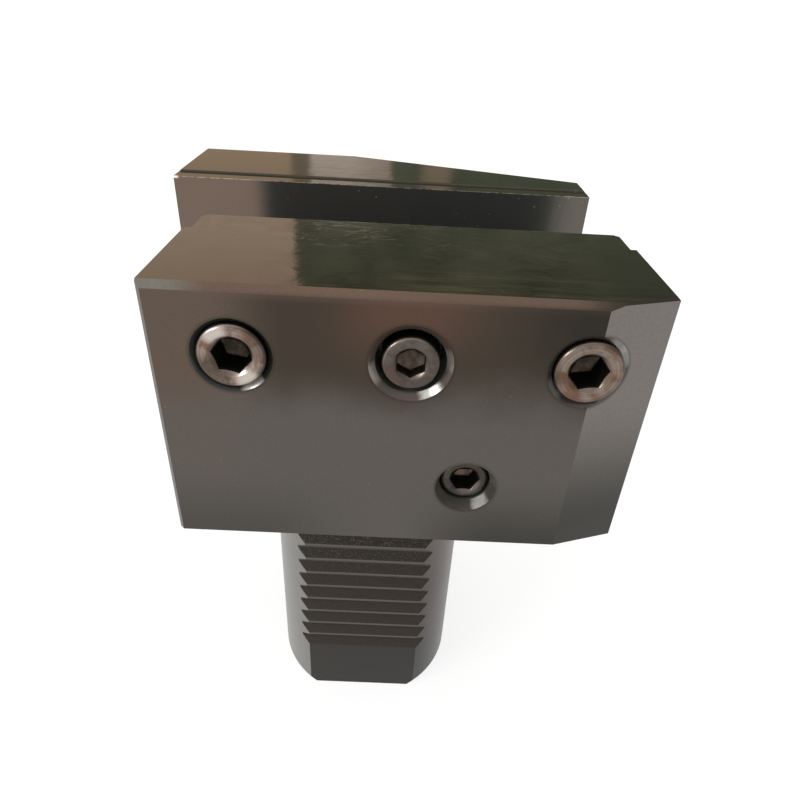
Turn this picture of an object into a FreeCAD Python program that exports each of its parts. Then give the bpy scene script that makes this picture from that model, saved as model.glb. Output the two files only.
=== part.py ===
import FreeCAD, Part
import math
import os

import Sketcher

# Radial tool holder with a toothed cylindrical shank, millimetres throughout.
# The origin is on the shank axis at the flange face: +Z points up into the head, the clamping
# side faces -Y, and the cutting end of the tool slot faces +X.

os.makedirs("parts", exist_ok=True)
doc = FreeCAD.newDocument("ToolHolder")

# Sizes

SIZES = [
    ("head_width", 85.0, "head, along the tool slot"),
    ("head_height", 44.0, "flange face to the top of the jaws"),
    ("clamp_side", 30.0, "shank axis to the front face"),
    ("fixed_side", 50.5, "shank axis to the back of the fixed jaw"),
    ("seat_distance", 25.0, "shank axis to the tool seat on the fixed jaw"),
    ("slot_floor", 22.0, "flange face to the slot floor"),
    ("slot_open", 25.1, "tool slot, with the strip fully back"),
    ("jaw_left", 30.5, "shank axis to the short end of the clamping jaw"),
    ("facet_run", 10.3, "corner facet, along the front face"),
    ("facet_depth", 3.3, "corner facet, along the end face"),
    ("taper_start", 7.5, "shank axis to the start of the fixed jaw's taper"),
    ("taper_end", 10.6, "fixed jaw's thickness at the cutting end"),
    ("rebate_width", 4.2, "step along the inner edge of the fixed jaw"),
    ("rebate_depth", 0.35, "depth of that step"),
    ("front_bevel", 1.0, "bevel along the front of the top face, cut before the facet"),
    ("edge_break", 0.35, "small bevel on the other outer edges"),
    ("shank_dia", 40.0, "shank"),
    ("shank_length", 63.0, "flange face to the end of the shank"),
    ("lead_radial", 0.8, "lead at the end of the shank, across"),
    ("lead_axial", 1.6, "lead at the end of the shank, along"),
    ("centre_dia", 6.3, "turning centre in the shank end"),
    ("centre_drill", 2.5, "pilot of that centre"),
    ("seal_start", 2.2, "flange face to the seal groove"),
    ("seal_width", 2.8, "seal groove, along"),
    ("seal_depth", 1.9, "seal groove, radial"),
    ("seal_cord", 2.2, "seal, cord diameter"),
    ("flat_distance", 15.9, "shank axis to the tips of the teeth"),
    ("tooth_depth", 1.5, "tooth, tip to root"),
    ("tooth_pitch", 4.0, "tooth spacing"),
    ("tooth_root", 0.5, "width of the root"),
    ("tooth_count", 10, "grooves in the toothed flat"),
    ("tooth_end", 48.9, "flange face to the lower edge of the last groove"),
    ("flat_start", 8.2, "flange face to the start of the flat"),
    ("screw_height", 33.5, "flange face to the screw row"),
    ("screw_middle", 6.3, "shank axis to the middle screw, towards the cutting end"),
    ("screw_spacing", 25.0, "between screws"),
    ("clamp_dia", 10.0, "clamp screw thread"),
    ("clamp_length", 25.0, "clamp screw"),
    ("clamp_sink", 11.6, "mouth of a clamp screw hole"),
    ("clamp_hex", 5.0, "clamp screw socket, across flats"),
    ("clamp_socket", 5.2, "clamp screw socket, depth"),
    ("point_dia", 7.0, "clamp screw point"),
    ("point_length", 5.0, "clamp screw point, length"),
    ("point_seat", 2.2, "depth of the point's seat in the strip"),
    ("thread_play", 0.06, "radial clearance of each thread"),
    ("strip_thickness", 7.5, "clamping strip"),
    ("strip_left", 29.4, "shank axis to the strip's short end"),
    ("strip_right", 41.3, "shank axis to the strip's other end"),
    ("strip_play", 0.05, "strip above the slot floor"),
    ("strip_top", 43.9, "flange face to the top of the strip"),
    ("strip_bevel", 0.8, "strip's upright corners"),
    ("retainer_dia", 5.0, "strip screw thread"),
    ("retainer_head", 8.5, "strip screw head"),
    ("retainer_tall", 5.0, "strip screw head, height"),
    ("retainer_hex", 4.0, "strip screw socket, across flats"),
    ("retainer_socket", 2.6, "strip screw socket, depth"),
    ("retainer_length", 22.5, "strip screw, under the head"),
    ("head_bore", 10.2, "counterbore round the strip screw head"),
    ("head_sink", 12.1, "mouth of that counterbore"),
    ("head_bore_depth", 8.4, "depth of that counterbore"),
    ("retainer_hole", 5.5, "clearance hole of the strip screw"),
    ("plug_x", 16.2, "shank axis to the coolant plug"),
    ("plug_height", 11.6, "flange face to the coolant plug"),
    ("plug_dia", 8.0, "coolant plug thread"),
    ("plug_length", 8.0, "coolant plug"),
    ("plug_hex", 4.0, "coolant plug socket, across flats"),
    ("plug_socket", 4.0, "coolant plug socket, depth"),
    ("plug_sunk", 1.8, "coolant plug below the front face"),
    ("plug_mouth", 9.6, "mouth of the plug hole"),
    ("cross_drill", 6.8, "cross drilling behind the plug"),
    ("inlet_y", 22.0, "shank axis to the coolant inlet"),
    ("inlet_dia", 6.0, "coolant inlet in the flange face"),
    ("outlet_y", 15.0, "shank axis to the nozzle, towards the front"),
    ("outlet_drill", 5.0, "drilling behind the nozzle"),
    ("ball_dia", 10.0, "nozzle ball"),
    ("ball_drill", 2.8, "nozzle ball, jet hole"),
    ("ball_inset", 4.0, "end face to the ball's centre"),
    ("ball_play", 0.05, "clearance round the ball"),
    ("ring_dia", 13.0, "nozzle ring"),
    ("ring_mouth", 7.3, "nozzle ring, opening"),
    ("ring_length", 3.4, "nozzle ring"),
    ("ring_slot", 1.6, "nozzle ring, spanner slots"),
]

sheet = doc.addObject("Spreadsheet::Sheet", "Sizes")
VALUES = {}
for row, (alias, value, note) in enumerate(SIZES, 1):
    sheet.set("A%d" % row, note)
    sheet.set("B%d" % row, str(value))
    sheet.setAlias("B%d" % row, alias)
    VALUES[alias] = float(value)
doc.recompute()


class Size:
    """A length that carries its value and the sheet formula behind it."""

    def __init__(self, value, text):
        self.value = float(value)
        self.text = text

    def __add__(self, other):
        other = plain(other)
        return Size(self.value + other.value, "(%s + %s)" % (self.text, other.text))

    def __sub__(self, other):
        other = plain(other)
        return Size(self.value - other.value, "(%s - %s)" % (self.text, other.text))

    def __mul__(self, factor):
        return Size(self.value * factor, "(%s * %.9g)" % (self.text, factor))

    def __truediv__(self, factor):
        return Size(self.value / factor, "(%s / %.9g)" % (self.text, factor))

    def __neg__(self):
        return Size(-self.value, "(0 - %s)" % self.text)


def plain(number):
    """A plain number as a Size; a Size is passed through."""
    return number if isinstance(number, Size) else Size(number, "%.9g" % number)


def size(alias):
    """The sheet cell of that name."""
    return Size(VALUES[alias], "<<Sizes>>.%s" % alias)


def new_body(name, label):
    body = doc.addObject("PartDesign::Body", name)
    body.Label = label
    return body


def origin_feature(body, role):
    return [f for f in body.Origin.OriginFeatures if f.Role == role][0]


def new_sketch(body, name, role, offset=(0, 0, 0), turn=0.0):
    """A sketch on one of the body's own planes, moved by an offset in the sketch's own axes."""
    sk = body.newObject("Sketcher::SketchObject", name)
    sk.AttachmentSupport = [(origin_feature(body, role), "")]
    sk.MapMode = "FlatFace"
    base = [plain(v) for v in offset]
    sk.AttachmentOffset = FreeCAD.Placement(
        FreeCAD.Vector(*[v.value for v in base]),
        FreeCAD.Rotation(FreeCAD.Vector(0, 0, 1), turn))
    for axis, v in zip("xyz", base):
        if "Sizes" in v.text:
            sk.setExpression("AttachmentOffset.Base.%s" % axis, v.text)
    return sk


def pin_point(sk, geo, pos, x, y):
    """Dimension one point from the sketch origin, each dimension driven by the sheet."""
    for kind, v, axis in (("DistanceX", plain(x), -2), ("DistanceY", plain(y), -1)):
        if abs(v.value) < 1e-9:
            sk.addConstraint(Sketcher.Constraint("PointOnObject", geo, pos, axis))
            continue
        index = sk.addConstraint(Sketcher.Constraint(kind, geo, pos, v.value))
        if "Sizes" in v.text:
            sk.setExpression("Constraints[%d]" % index, v.text)


def outline(sk, points):
    """A closed outline of straight lines, each corner dimensioned."""
    pts = [(plain(x), plain(y)) for x, y in points]
    vec = [FreeCAD.Vector(x.value, y.value, 0) for x, y in pts]
    first = len(sk.Geometry)
    for i in range(len(vec)):
        sk.addGeometry(Part.LineSegment(vec[i], vec[(i + 1) % len(vec)]), False)
    for i in range(len(vec)):
        sk.addConstraint(Sketcher.Constraint(
            "Coincident", first + i, 2, first + (i + 1) % len(vec), 1))
    for i, (x, y) in enumerate(pts):
        pin_point(sk, first + i, 1, x, y)
    return sk


def circle(sk, x, y, diameter):
    x, y, diameter = plain(x), plain(y), plain(diameter)
    geo = sk.addGeometry(Part.Circle(FreeCAD.Vector(x.value, y.value, 0),
                                     FreeCAD.Vector(0, 0, 1), diameter.value / 2), False)
    index = sk.addConstraint(Sketcher.Constraint("Diameter", geo, diameter.value))
    sk.setExpression("Constraints[%d]" % index, diameter.text)
    pin_point(sk, geo, 3, x, y)
    return sk


def hexagon(sk, across):
    """A regular hexagon round the sketch origin, with two corners on the sketch's x axis."""
    corner = across / math.sqrt(3.0)
    return outline(sk, [(corner * math.cos(math.radians(60 * k)),
                         corner * math.sin(math.radians(60 * k))) for k in range(6)])


def feature(body, kind, name):
    """A new feature; the holder's own keep every joint between faces."""
    f = body.newObject("PartDesign::" + kind, name)
    if body.Label == "holder_body":
        f.Refine = False
    return f


def extrude(body, kind, name, sk, length=None, back=False, both=False):
    """A pad or a pocket; with no length it cuts through everything."""
    f = feature(body, kind, name)
    f.Profile = sk
    if length is None:
        f.Type = "ThroughAll"
    else:
        length = plain(length)
        f.Type = "Length"
        f.Length = length.value
        f.setExpression("Length", length.text)
    if both:
        if hasattr(f, "SideType"):
            f.SideType = "Symmetric"
        else:
            f.Midplane = True
    f.Reversed = back
    sk.Visibility = False
    doc.recompute()
    return f


def turn(body, kind, name, sk, axis):
    """A revolved boss or a turned cut round the sketch's own axis."""
    f = feature(body, kind, name)
    f.Profile = sk
    f.ReferenceAxis = (sk, [axis])
    f.Angle = 360.0
    sk.Visibility = False
    doc.recompute()
    return f


def bevel(body, name, base, width, picks):
    """A chamfer on each straight edge of the base whose middle lies at a picked place."""
    names = []
    for i, edge in enumerate(base.Shape.Edges, 1):
        a, b = edge.Vertexes[0].Point, edge.Vertexes[-1].Point
        mid = (a + b) * 0.5
        if any((mid - FreeCAD.Vector(*p)).Length < 0.02 for p in picks):
            names.append("Edge%d" % i)
    if len(names) != len(picks):
        raise RuntimeError("%s: %d of %d edges found" % (name, len(names), len(picks)))
    f = body.newObject("PartDesign::Chamfer", name)
    f.Base = (base, names)
    f.Size = width.value
    f.setExpression("Size", width.text)
    doc.recompute()
    return f


def seat(body, x, y, z):
    """Place a body in the frame, driven by the sheet."""
    for axis, v in zip("xyz", (plain(x), plain(y), plain(z))):
        setattr(body.Placement.Base, axis, v.value)
        if "Sizes" in v.text:
            body.setExpression("Placement.Base.%s" % axis, v.text)
    doc.recompute()


# Levels that several pieces share

half_width = size("head_width") / 2
front = -size("clamp_side")
strip_rear = size("seat_distance") - size("slot_open")
jaw_inner = strip_rear - size("strip_thickness")
top = size("head_height")
screw_left = size("screw_middle") - size("screw_spacing")
screw_right = size("screw_middle") + size("screw_spacing")
play = size("thread_play")

# Holder body: head and shank in one piece

holder = new_body("HolderBody", "holder_body")

plan = new_sketch(holder, "HeadPlan", "XY_Plane")
outline(plan, [
    (-size("jaw_left"), front),
    (half_width - size("facet_run"), front),
    (half_width, front + size("facet_depth")),
    (half_width, size("seat_distance") + size("taper_end")),
    (-size("taper_start"), size("fixed_side")),
    (-half_width, size("fixed_side")),
    (-half_width, 0),
    (-size("jaw_left"), 0),
])
head = extrude(holder, "Pad", "HeadBlock", plan, top)

front_mid_x = (half_width.value - size("facet_run").value - size("jaw_left").value) / 2
front_bevel = bevel(holder, "FrontBevel", head, size("front_bevel"), [
    (front_mid_x, front.value, top.value),
])
# The front bevel runs out into the facet, so the facet's own top edge starts further right
bev = size("front_bevel").value
jaw_front_y = front.value + size("facet_depth").value
facet_left = (half_width.value - size("facet_run").value
              + bev * size("facet_run").value / size("facet_depth").value)
facet_break = bevel(holder, "FacetBreak", front_bevel, size("edge_break"), [
    ((facet_left + half_width.value) / 2, (front.value + bev + jaw_front_y) / 2, top.value),
])
left_bevel = bevel(holder, "LeftCornerBevel", facet_break, size("edge_break") * 2, [
    (-size("jaw_left").value, front.value, (top.value - size("front_bevel").value) / 2),
])

slot = new_sketch(holder, "ToolSlot", "YZ_Plane")
outline(slot, [
    (jaw_inner, size("slot_floor")), (size("seat_distance"), size("slot_floor")),
    (size("seat_distance"), top + 5), (jaw_inner, top + 5),
])
slot_cut = extrude(holder, "Pocket", "ToolSlotCut", slot, both=True)

rebate = new_sketch(holder, "SeatRebate", "YZ_Plane")
outline(rebate, [
    (size("seat_distance") - 2, top - size("rebate_depth")),
    (size("seat_distance") + size("rebate_width"), top - size("rebate_depth")),
    (size("seat_distance") + size("rebate_width"), top + 5),
    (size("seat_distance") - 2, top + 5),
])
rebate_cut = extrude(holder, "Pocket", "SeatRebateCut", rebate, both=True)

# Outer edges of the fixed jaw and of the jaw ends, lightly broken
fixed_in = size("seat_distance").value + size("rebate_width").value
taper_y = size("seat_distance").value + size("taper_end").value
# The facet's break ends a little further back along the end face, by the facet's slant
slope = size("facet_depth").value / size("facet_run").value
break_back = size("edge_break").value * math.sqrt(1 + slope * slope)
outer_edges = bevel(holder, "OuterEdges", rebate_cut, size("edge_break"), [
    (-half_width.value, (fixed_in + size("fixed_side").value) / 2, top.value),
    ((-half_width.value - size("taper_start").value) / 2, size("fixed_side").value, top.value),
    ((half_width.value - size("taper_start").value) / 2,
     (size("fixed_side").value + taper_y) / 2, top.value),
    (half_width.value, (fixed_in + taper_y) / 2, top.value),
    (half_width.value, (jaw_front_y + break_back + jaw_inner.value) / 2, top.value),
])

# Shank: turned in one go with its seal groove, its lead and the 60 degree centre in its end.
# Its seam lies in the flat, and its wall keeps a joint where the flat starts, so that the full
# land and the flatted length stay two faces.
radius = size("shank_dia") / 2
centre_r = size("centre_dia") / 2
pilot_r = size("centre_drill") / 2
cone_top = (centre_r - pilot_r) * math.sqrt(3.0) - size("shank_length")
shank = new_sketch(holder, "ShankProfile", "YZ_Plane")
land = radius - size("seal_depth")
seal_end = size("seal_start") + size("seal_width")
outline(shank, [(-x, z) for x, z in [
    (plain(0), 1), (radius, 1),
    (radius, -size("seal_start")), (land, -size("seal_start")),
    (land, -seal_end), (radius, -seal_end),
    (radius, -size("flat_start")),
    (radius, size("lead_axial") - size("shank_length")),
    (radius - size("lead_radial"), -size("shank_length")),
    (centre_r, -size("shank_length")), (pilot_r, cone_top),
    (pilot_r, cone_top + size("centre_drill")), (plain(0), cone_top + size("centre_drill") + 0.7),
]])
shank_turn = turn(holder, "Revolution", "Shank", shank, "V_Axis")

# Toothed flat: the clamping wedge in the turret pulls on these teeth
flat = new_sketch(holder, "ShankFlat", "YZ_Plane")
outline(flat, [
    (-size("flat_distance"), -size("flat_start")),
    (-size("flat_distance"), -(size("shank_length") + 2)),
    (-(radius + 2), -(size("shank_length") + 2)),
    (-(radius + 2), -size("flat_start")),
])
flat_cut = extrude(holder, "Pocket", "ShankFlatCut", flat, radius * 2.2, both=True)

root_y = size("tooth_depth") - size("flat_distance")
tooth_low = -size("tooth_end")
groove = new_sketch(holder, "ToothGroove", "YZ_Plane")
outline(groove, [
    (-(size("flat_distance") + 1), tooth_low),
    (-size("flat_distance"), tooth_low),
    (root_y, tooth_low + size("tooth_depth")),
    (root_y, tooth_low + size("tooth_depth") + size("tooth_root")),
    (-size("flat_distance"), tooth_low + size("tooth_depth") * 2 + size("tooth_root")),
    (-(size("flat_distance") + 1), tooth_low + size("tooth_depth") * 2 + size("tooth_root")),
])
tooth = extrude(holder, "Pocket", "Tooth", groove, radius * 2.2, both=True)
teeth = feature(holder, "LinearPattern", "Teeth")
teeth.Originals = [tooth]
teeth.Direction = (origin_feature(holder, "Z_Axis"), [""])
run = Size(VALUES["tooth_pitch"] * (VALUES["tooth_count"] - 1),
           "(<<Sizes>>.tooth_pitch * (<<Sizes>>.tooth_count - 1))")
teeth.Length = run.value
teeth.setExpression("Length", run.text)
teeth.Occurrences = int(VALUES["tooth_count"])
teeth.setExpression("Occurrences", "<<Sizes>>.tooth_count")
holder.Tip = teeth
doc.recompute()


def bore_along_y(body, name, x, height, points):
    """A turned cut round an axis along Y; each point is a radius and a place along Y."""
    sk = new_sketch(body, name + "Profile", "XY_Plane", (x, 0, height))
    outline(sk, points)
    return turn(body, "Groove", name, sk, "V_Axis")


# Clamp screw holes, each with its countersunk mouth
clamp_bore = size("clamp_dia") / 2 + play
clamp_mouth = size("clamp_sink") / 2
for name, x in (("ClampHoleLeft", screw_left), ("ClampHoleRight", screw_right)):
    bore_along_y(holder, name, x, size("screw_height"), [
        (0, front - 1), (clamp_mouth + 1, front - 1), (clamp_mouth, front),
        (clamp_bore, front + clamp_mouth - clamp_bore), (clamp_bore, jaw_inner + 0.5),
        (0, jaw_inner + 0.5),
    ])

# Counterbore and clearance hole of the strip screw
head_bore = size("head_bore") / 2
head_mouth = size("head_sink") / 2
bore_along_y(holder, "StripScrewHole", size("screw_middle"), size("screw_height"), [
    (0, front - 1), (head_mouth + 1, front - 1), (head_mouth, front),
    (head_bore, front + head_mouth - head_bore),
    (head_bore, front + size("head_bore_depth")),
    (size("retainer_hole") / 2, front + size("head_bore_depth")),
    (size("retainer_hole") / 2, jaw_inner + 0.5), (0, jaw_inner + 0.5),
])

# Coolant way: inlet in the flange, cross drilling closed by the plug, outlet to the nozzle
plug_bore = size("plug_dia") / 2 + play
plug_end = front + size("plug_sunk") + size("plug_length")
cross = size("cross_drill") / 2
bore_along_y(holder, "CrossDrilling", size("plug_x"), size("plug_height"), [
    (0, front - 1), (size("plug_mouth") / 2 + 0.4, front - 1), (size("plug_mouth") / 2, front),
    (plug_bore, front + size("plug_sunk")), (plug_bore, plug_end + 1.5),
    (cross, plug_end + 1.5), (cross, size("inlet_y")), (0, size("inlet_y") + cross * 0.6),
])
inlet = new_sketch(holder, "Inlet", "XY_Plane")
circle(inlet, size("plug_x"), size("inlet_y"), size("inlet_dia"))
inlet_cut = extrude(holder, "Pocket", "InletCut", inlet, size("plug_height"), back=True)

ball_r = size("ball_dia") / 2
ball_x = half_width - size("ball_inset")
cavity = ball_r + size("ball_play") * 2
# The seat is a 45 degree cone that clears the ball by its play
reach = (ball_r + size("ball_play")) * math.sqrt(2.0)
outlet = size("outlet_drill") / 2
pocket_r = size("ring_dia") / 2 + play
nozzle = new_sketch(holder, "NozzlePocketProfile", "XY_Plane",
                    (0, -size("outlet_y"), size("plug_height")))
outline(nozzle, [
    (half_width + 1, 0), (half_width + 1, pocket_r), (half_width - size("ring_length"), pocket_r),
    (half_width - size("ring_length"), cavity), (ball_x + cavity - reach, cavity),
    (ball_x + outlet - reach, outlet), (size("plug_x"), outlet), (size("plug_x"), 0),
])
nozzle_cut = turn(holder, "Groove", "NozzlePocket", nozzle, "H_Axis")
holder.Tip = nozzle_cut

# Clamping strip: lies against the clamping jaw and presses the tool on to the seat

strip = new_body("ClampingStrip", "clamping_strip")
strip_plan = new_sketch(strip, "StripPlan", "XY_Plane", (0, 0, size("slot_floor") + size("strip_play")))
sb = size("strip_bevel")
thick = size("strip_thickness")
s_left, s_right = -size("strip_left"), size("strip_right")
outline(strip_plan, [
    (s_left, 0), (s_right, 0), (s_right, thick - sb), (s_right - sb, thick),
    (s_left + sb, thick), (s_left, thick - sb),
])
strip_pad = extrude(strip, "Pad", "StripBar", strip_plan,
                    size("strip_top") - size("slot_floor") - size("strip_play"))
point_seat = size("point_dia") / 2 + 0.2
for name, x in (("PointSeatLeft", screw_left), ("PointSeatRight", screw_right)):
    bore_along_y(strip, name, x, size("screw_height"), [
        (0, -1), (point_seat, -1), (point_seat, size("point_seat") + 0.05),
        (0, size("point_seat") + 0.05),
    ])
hold = size("retainer_dia") / 2 + play
strip_hole = bore_along_y(strip, "StripThread", size("screw_middle"), size("screw_height"), [
    (0, -1), (hold, -1), (hold, thick - 1.5), (0, thick - 0.6),
])
strip.Tip = strip_hole
seat(strip, 0, jaw_inner, 0)


def socket(body, name, across, depth, sketch_turn):
    """A hexagon socket sunk from the outer end, with a coned mouth."""
    mouth = new_sketch(body, name + "MouthProfile", "XY_Plane")
    rim = across * (0.5 * 1.22)
    outline(mouth, [(0, -0.5), (rim + 0.5, -0.5), (rim, 0), (0, rim * 0.57735)])
    turn(body, "Groove", name + "Mouth", mouth, "V_Axis")
    sk = new_sketch(body, name + "Outline", "XZ_Plane", turn=sketch_turn)
    hexagon(sk, across)
    return extrude(body, "Pocket", name, sk, depth)


def set_screw(name, label, dia, length, hexa, deep, sketch_turn, tip=None, tip_long=None):
    """A socket set screw along +Y from its outer end, with a plain or a reduced point."""
    body = new_body(name, label)
    sk = new_sketch(body, name + "Profile", "XY_Plane")
    r = dia / 2
    c = dia * 0.075
    if tip is None:
        points = [(0, 0), (r - c, 0), (r, c), (r, length - c), (r - c, length), (0, length)]
    else:
        t = tip / 2
        points = [(0, 0), (r - c, 0), (r, c), (r, length - tip_long - c),
                  (r - c, length - tip_long), (t, length - tip_long), (t, length - 0.6),
                  (t - 0.6, length), (0, length)]
    outline(sk, points)
    turn(body, "Revolution", name + "Turned", sk, "V_Axis")
    body.Tip = socket(body, name + "Socket", hexa, deep, sketch_turn)
    return body


# Clamp screws: their points sit in the strip and push it

clamp_left = set_screw("ClampScrewLeft", "clamp_screw_left", size("clamp_dia"), size("clamp_length"),
                       size("clamp_hex"), size("clamp_socket"), -11.0,
                       size("point_dia"), size("point_length"))
clamp_right = set_screw("ClampScrewRight", "clamp_screw_right", size("clamp_dia"), size("clamp_length"),
                        size("clamp_hex"), size("clamp_socket"), 9.0,
                        size("point_dia"), size("point_length"))
clamp_start = jaw_inner + size("point_seat") - size("clamp_length")
seat(clamp_left, screw_left, clamp_start, size("screw_height"))
seat(clamp_right, screw_right, clamp_start, size("screw_height"))

# Strip screw: threaded into the strip, its head travels in the counterbore

retainer = new_body("StripScrew", "strip_screw")
profile = new_sketch(retainer, "StripScrewProfile", "XY_Plane")
hr = size("retainer_head") / 2
rr = size("retainer_dia") / 2
tall = size("retainer_tall")
total = tall + size("retainer_length")
outline(profile, [
    (0, 0), (hr - 0.5, 0), (hr, 0.5), (hr, tall), (rr, tall), (rr, total - 0.5),
    (rr - 0.5, total), (0, total),
])
turn(retainer, "Revolution", "StripScrewTurned", profile, "V_Axis")
retainer.Tip = socket(retainer, "StripScrewSocket", size("retainer_hex"), size("retainer_socket"), 30.0)
seat(retainer, size("screw_middle"), front, size("screw_height"))

# Coolant plug

plug = set_screw("CoolantPlug", "coolant_plug", size("plug_dia"), size("plug_length"),
                 size("plug_hex"), size("plug_socket"), 0.0)
seat(plug, size("plug_x"), front + size("plug_sunk"), size("plug_height"))

# Nozzle ring: threaded ring that keeps the ball, with two spanner slots

ring = new_body("NozzleRing", "nozzle_ring")
ring_profile = new_sketch(ring, "NozzleRingProfile", "XY_Plane")
ring_long = size("ring_length")
outline(ring_profile, [
    (0, size("ring_mouth") / 2), (0, size("ring_dia") / 2 - 0.4), (-0.4, size("ring_dia") / 2),
    (-ring_long, size("ring_dia") / 2), (-ring_long, ball_r + 0.35),
])
turn(ring, "Revolution", "NozzleRingTurned", ring_profile, "H_Axis")
spanner = new_sketch(ring, "SpannerSlots", "YZ_Plane")
half_slot = size("ring_slot") / 2
outline(spanner, [
    (-size("ring_dia"), -half_slot), (size("ring_dia"), -half_slot),
    (size("ring_dia"), half_slot), (-size("ring_dia"), half_slot),
])
ring.Tip = extrude(ring, "Pocket", "SpannerSlotsCut", spanner, 1.0)
seat(ring, half_width, -size("outlet_y"), size("plug_height"))

# Nozzle ball: a drilled ball, from primitives

ball_solid = doc.addObject("Part::Sphere", "BallSolid")
ball_solid.setExpression("Radius", ball_r.text)
jet = doc.addObject("Part::Cylinder", "JetHole")
jet.setExpression("Radius", (size("ball_drill") / 2).text)
jet.setExpression("Height", (size("ball_dia") * 1.4).text)
jet_start = size("ball_dia") * -0.7
jet.Placement = FreeCAD.Placement(FreeCAD.Vector(jet_start.value, 0, 0),
                                  FreeCAD.Rotation(FreeCAD.Vector(0, 1, 0), 90))
jet.setExpression("Placement.Base.x", jet_start.text)
ball = doc.addObject("Part::Cut", "NozzleBall")
ball.Base = ball_solid
ball.Tool = jet
ball.Label = "nozzle_ball"
seat(ball, ball_x, -size("outlet_y"), size("plug_height"))

# Shank seal: an O-ring standing a little proud of the shank

seal = doc.addObject("Part::Torus", "ShankSeal")
seal.Label = "shank_seal"
cord = size("seal_cord") / 2
seal.setExpression("Radius1", (radius - size("seal_depth") + cord + 0.05).text)
seal.setExpression("Radius2", cord.text)
seat(seal, 0, 0, -(size("seal_start") + size("seal_width") / 2))

doc.recompute()

# Checks and export

PIECES = [holder, strip, retainer, clamp_left, clamp_right, plug, ring, ball, seal]
for obj in doc.Objects:
    if "Invalid" in obj.State or "Error" in obj.State:
        raise RuntimeError("%s did not build: %s" % (obj.Name, obj.State))
for piece in PIECES:
    shape = piece.Shape
    if shape.isNull() or not shape.isValid() or len(shape.Solids) != 1:
        raise RuntimeError("%s is not one valid solid" % piece.Label)
    shape.exportStep("parts/%s.step" % piece.Label)
    print("%-18s %10.1f mm3  %s" % (piece.Label, shape.Volume, [
        round(v, 2) for v in (shape.BoundBox.XMin, shape.BoundBox.XMax, shape.BoundBox.YMin,
                              shape.BoundBox.YMax, shape.BoundBox.ZMin, shape.BoundBox.ZMax)]))
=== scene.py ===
import logging
import math
from dataclasses import dataclass, field
from enum import Enum
from functools import partial, reduce
from typing import Callable, Dict, List, Optional, Sequence, Tuple, Union

import bmesh
import bpy
from mathutils import Matrix, Vector


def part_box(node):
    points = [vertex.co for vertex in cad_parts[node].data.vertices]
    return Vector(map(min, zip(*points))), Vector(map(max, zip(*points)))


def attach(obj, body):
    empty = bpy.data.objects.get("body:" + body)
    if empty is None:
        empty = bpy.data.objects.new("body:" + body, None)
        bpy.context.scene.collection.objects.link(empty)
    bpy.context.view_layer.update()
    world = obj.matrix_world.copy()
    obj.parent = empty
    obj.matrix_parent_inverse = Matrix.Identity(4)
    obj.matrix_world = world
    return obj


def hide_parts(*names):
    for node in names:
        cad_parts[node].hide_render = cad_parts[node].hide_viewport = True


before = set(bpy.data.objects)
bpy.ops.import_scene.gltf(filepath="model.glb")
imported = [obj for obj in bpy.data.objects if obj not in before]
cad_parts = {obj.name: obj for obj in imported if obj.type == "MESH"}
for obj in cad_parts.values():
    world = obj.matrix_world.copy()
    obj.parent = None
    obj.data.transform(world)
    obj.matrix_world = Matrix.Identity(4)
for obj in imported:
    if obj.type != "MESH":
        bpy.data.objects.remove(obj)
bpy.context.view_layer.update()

LOG = logging.getLogger("tool_holder")
MM = 0.001

# The holder's main planes in millimetres: left end, front, tool seat with its step, slot floor, top
LEFT_X = -42.5
FRONT_Y = -30.0
SEAT_Y = 25.0
STEP_Y = 29.2
STEP_Z = 43.65
SLOT_Z = 22.0
TOP_Z = 44.0

Socket = bpy.types.NodeSocket
Colour = Tuple[float, float, float]
Value = Union[float, Socket]
Tone = Union[Colour, Socket]
AngleSize = Union[float, Callable[[float], float]]
Profile = Tuple[Tuple[float, float], ...]
Feeds = Dict[Union[int, str], object]


class Grain(Enum):
    """How a steel surface was last worked, which sets the run of its fine lines."""

    GROUND = "ground"
    TURNED = "turned"


# Node graphs


@dataclass(frozen=True)
class Spot:
    """A shaded point: its graph, where it lies on its piece in millimetres, and how it faces."""

    g: "Graph"
    mm: Socket
    x: Socket
    y: Socket
    z: Socket
    facing: Socket


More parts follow.
